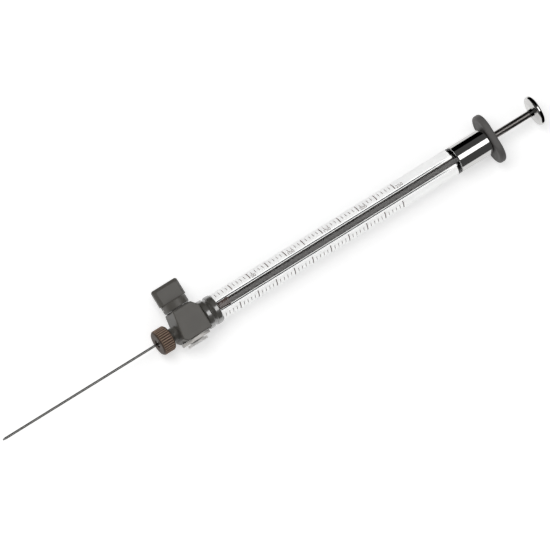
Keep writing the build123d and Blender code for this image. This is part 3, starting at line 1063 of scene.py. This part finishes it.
class MICROSYRINGE_OT_plunger(StepOperator, bpy.types.Operator):
    """Model the plunger's sealing tip, rod and button"""

    bl_idname = "microsyringe.plunger"
    bl_label = "Plunger"

    def build(self, sizes, context):
        start, end = extent("plunger_tip")
        lip, waist, chamfer = radius_of("plunger_tip"), 1.06 * MM, 0.12 * MM
        spigot, spigot_end = ROD_SPIGOT_RADIUS + FIT, end - 2.65 * MM
        land = 0.9 * MM
        tip = turned(
            "tip",
            [(start, 0), (start, lip - chamfer), (start + chamfer, lip), (start + land, lip),
             (start + land + chamfer, waist), (end - land - chamfer, waist), (end - land, lip),
             (end - chamfer, lip), (end, lip - chamfer), (end, spigot), (spigot_end, spigot), (spigot_end, 0)],
            steps=64,
        )
        soften(tip, 0.04 * MM, 2, 30)
        tidy_shading(tip)
        place(tip, "plunger", "tip_polymer", finish("tip_polymer"), "plunger_tip")
        front, rear = extent("plunger_rod")
        body, thin, edge = radius_of("plunger_rod"), ROD_SPIGOT_RADIUS, 0.06 * MM
        rod = turned(
            "rod",
            [(front, 0), (front, thin - edge), (front + edge, thin), (end, thin), (end, body - edge),
             (end + edge, body), (rear - edge, body), (rear, body - edge), (rear, 0)],
            steps=64,
        )
        tidy_shading(rod)
        place(rod, "plunger", "rod_steel", finish("rod_steel"), "plunger_rod")
        hub_start, face = extent("plunger_button")
        rim, disc_start = radius_of("plunger_button"), hub_start + 1.1 * MM
        hub, socket = 1.2 * MM, body + FIT
        button = turned(
            "button",
            [(hub_start, socket), (hub_start, hub), (disc_start, hub), (disc_start, rim), (face, rim),
             (face, 0), (rear, 0), (rear, socket), (hub_start, socket)],
            steps=128,
        )
        pick_rims(button, rim)
        bevel_picked(0.6 * MM, 8)
        soften(button, 0.05 * MM, 2, 60)
        tidy_shading(button, 35)
        place(button, "plunger", "polished_chrome", finish("polished_chrome"), "plunger_button")


class MICROSYRINGE_OT_stage(StepOperator, bpy.types.Operator):
    """Set up the pale table, the soft light and the camera"""

    bl_idname = "microsyringe.stage"
    bl_label = "Stage"

    def build(self, sizes, context):
        studio = context.scene.microsyringe_studio
        low, high = Vector(CAD_BOX[0]), Vector(CAD_BOX[1])
        middle = (low + high) / 2
        self.table(low.z, middle)
        self.dark_cards(low, high)
        self.surround(context.scene, studio.fill, studio.dark)
        aim = Vector((middle.x, 0, 0))
        self.softbox("key_softbox", aim, (-18, 27), 1.0, (0.7, 0.6), studio.key_level, False)
        self.softbox("top_softbox", aim, (16, -4), 1.0, (0.4, 0.58), studio.top_level, True)
        self.camera(context.scene)

    def table(self, level, middle):
        """The table keeps the object's shadow and reads as white to the camera, to metal and to glass."""
        clear_selection()
        bpy.ops.mesh.primitive_plane_add(size=14, location=(middle.x, middle.y, level))
        table = settle("table")
        material = bpy.data.materials.new("table_white")
        material.use_nodes = True
        tree = material.node_tree
        shader = tree.nodes["Principled BSDF"]
        shader.inputs["Base Color"].default_value = (0.82, 0.82, 0.82, 1)
        shader.inputs["Roughness"].default_value = 1
        shader.inputs["Specular IOR Level"].default_value = 0
        path = add(tree, "ShaderNodeLightPath")
        # Seen through the glass the table is lifted more than in sight: painted light that stands in for the
        # bright caustic under the barrel and lightens its shadow there.
        in_sight, painted_caustic_lift = 0.48, 0.68
        levels = {"Is Camera Ray": in_sight, "Is Glossy Ray": in_sight, "Is Transmission Ray": painted_caustic_lift}
        lift = self.by_ray(tree, path, 0, levels)
        tree.links.new(lift, shader.inputs["Emission Strength"])
        shader.inputs["Emission Color"].default_value = (1, 1, 1, 1)
        table.data.materials.append(material)

    def by_ray(self, tree, path, otherwise, levels):
        """A level that depends on the kind of ray: the last kind that applies decides."""
        basis = add(tree, "ShaderNodeValue")
        basis.outputs[0].default_value = otherwise
        level = basis.outputs[0]
        for ray, seen in levels.items():
            mix = add(tree, "ShaderNodeMix", data_type="FLOAT")
            tree.links.new(path.outputs[ray], mix.inputs["Factor"])
            tree.links.new(level, mix.inputs["A"])
            mix.inputs["B"].default_value = seen
            level = mix.outputs["Result"]
        return level

    def dark_cards(self, low, high):
        """One card stands beyond the knob, and each side has one by the glass and one by the button."""
        sheet = 0.05 * MM
        beyond_knob, chrome_card_top = 20 * MM, 12.7 * MM
        self.dark_card("chrome_card", (low.x, beyond_knob, low.z),
                       (high.x, beyond_knob + sheet, chrome_card_top), True, False)
        glass_start, glass_end = extent("barrel_collar")[1], extent("barrel_cap")[0]
        inner_edge, outer_edge = 8.5 * MM, 60 * MM
        button_card_start, button_card_end = high.x - 8 * MM, high.x + 34 * MM
        beside_button, button_card_top = 12 * MM, 30 * MM
        for side in (-1, 1):
            near, far = sorted((side * inner_edge, side * outer_edge))
            self.dark_card("glass_card", (glass_start, near, low.z),
                           (glass_end, far, low.z + sheet), False, True)
            near = side * beside_button
            self.dark_card("button_card", (button_card_start, near, low.z),
                           (button_card_end, near + sheet, button_card_top), True, False)

    def dark_card(self, name, low, high, glossy, transmission):
        """A black card that only polished metal or only glass sees, as a studio puts beside them."""
        card = block(name, low, high)
        material = bpy.data.materials.get("Card black")
        if not material:
            material = bpy.data.materials.new("Card black")
            material.use_nodes = True
            shader = material.node_tree.nodes["Principled BSDF"]
            shader.inputs["Base Color"].default_value = (0, 0, 0, 1)
            shader.inputs["Specular IOR Level"].default_value = 0
        card.data.materials.append(material)
        card.visible_camera = card.visible_diffuse = card.visible_shadow = False
        card.visible_glossy, card.visible_transmission = glossy, transmission

    def surround(self, scene, fill, dark):
        """The room: an even fill light, dark in metal and glass, and white past the table's edge."""
        world = bpy.data.worlds.new("studio")
        world.use_nodes = True
        tree = world.node_tree
        shade = tree.nodes["Background"]
        shade.inputs["Color"].default_value = (1, 1, 1, 1)
        path = add(tree, "ShaderNodeLightPath")
        level = self.by_ray(
            tree, path, fill, {"Is Glossy Ray": dark, "Is Transmission Ray": dark, "Is Camera Ray": 1}
        )
        tree.links.new(level, shade.inputs["Strength"])
        scene.world = world

    def softbox(self, name, aim, tilt, distance, size, power, in_reflections):
        """A softbox over the table, tilted by one angle along the barrel and by another to the knob."""
        along, across = (math.radians(angle) for angle in tilt)
        direction = Vector((math.tan(along), math.tan(across), 1)).normalized()
        clear_selection()
        bpy.ops.object.light_add(type="AREA", location=aim + direction * distance)
        lamp = bpy.context.object
        lamp.name = name
        lamp.data.shape = "RECTANGLE"
        lamp.data.size, lamp.data.size_y = size
        lamp.data.energy = power
        side = Vector(BARREL_AXIS)
        side = (side - side.project(direction)).normalized()
        lamp.rotation_mode = "QUATERNION"
        turn = Matrix((side, direction.cross(side), direction)).transposed()
        lamp.rotation_quaternion = turn.to_quaternion()
        lamp.visible_glossy = in_reflections
        lamp.visible_transmission = False
        lamp.visible_diffuse = not in_reflections
        lamp.visible_camera = False

    def camera(self, scene):
        """A long lens over the table, leaning to the needle's side, with the barrel rising to the right."""
        lean, rise = math.radians(16), math.radians(31.77)
        pixels, pixels_per_mm = 550, 3.692
        back = Vector((-math.sin(lean), 0, math.cos(lean)))
        level = Vector((math.cos(lean), 0, math.sin(lean)))
        right = math.cos(rise) * level - math.sin(rise) * Vector((0, 1, 0))
        up = math.sin(rise) * level + math.cos(rise) * Vector((0, 1, 0))
        aim = Vector((38.35 * MM, -0.82 * MM, 0))
        lens, sensor = 1500, 36
        distance = pixels / pixels_per_mm * MM * lens / sensor
        clear_selection()
        bpy.ops.object.camera_add(location=aim + back * distance)
        view = bpy.context.object
        view.name = "camera"
        view.rotation_mode = "QUATERNION"
        view.rotation_quaternion = Matrix((right, up, back)).transposed().to_quaternion()
        view.data.lens, view.data.sensor_width = lens, sensor
        view.data.clip_end = 4 * distance
        scene.camera = view


STEPS = (
    MICROSYRINGE_OT_needle,
    MICROSYRINGE_OT_nut,
    MICROSYRINGE_OT_valve_body,
    MICROSYRINGE_OT_knob,
    MICROSYRINGE_OT_plug_fixings,
    MICROSYRINGE_OT_seals,
    MICROSYRINGE_OT_collar,
    MICROSYRINGE_OT_glass_barrel,
    MICROSYRINGE_OT_scale,
    MICROSYRINGE_OT_cap,
    MICROSYRINGE_OT_finger_flange,
    MICROSYRINGE_OT_plunger,
    MICROSYRINGE_OT_stage,
)


class VIEW3D_PT_microsyringe(bpy.types.Panel):
    """The microsyringe's sizes, colours and steps"""

    bl_label = "Microsyringe"
    bl_idname = "VIEW3D_PT_microsyringe"
    bl_space_type = "VIEW_3D"
    bl_region_type = "UI"
    bl_category = "Microsyringe"

    def draw(self, context):
        scene = context.scene
        for group in (scene.microsyringe_sizes, scene.microsyringe_colours, scene.microsyringe_studio):
            box = self.layout.box()
            for key in type(group).__annotations__:
                box.prop(group, key)
        for step in STEPS:
            self.layout.operator(step.bl_idname)


CLASSES = (MicrosyringeSizes, MicrosyringeColours, MicrosyringeStudio, *STEPS, VIEW3D_PT_microsyringe)


def register():
    for cls in CLASSES:
        bpy.utils.register_class(cls)
    bpy.types.Scene.microsyringe_sizes = PointerProperty(type=MicrosyringeSizes)
    bpy.types.Scene.microsyringe_colours = PointerProperty(type=MicrosyringeColours)
    bpy.types.Scene.microsyringe_studio = PointerProperty(type=MicrosyringeStudio)


def unregister():
    del bpy.types.Scene.microsyringe_studio
    del bpy.types.Scene.microsyringe_colours
    del bpy.types.Scene.microsyringe_sizes
    for cls in reversed(CLASSES):
        bpy.utils.unregister_class(cls)


def main():
    register()
    bpy.context.scene.view_settings.view_transform = "Standard"
    for step in STEPS:
        family, name = step.bl_idname.split(".")
        getattr(getattr(bpy.ops, family), name)()


if __name__ == "__main__":
    main()
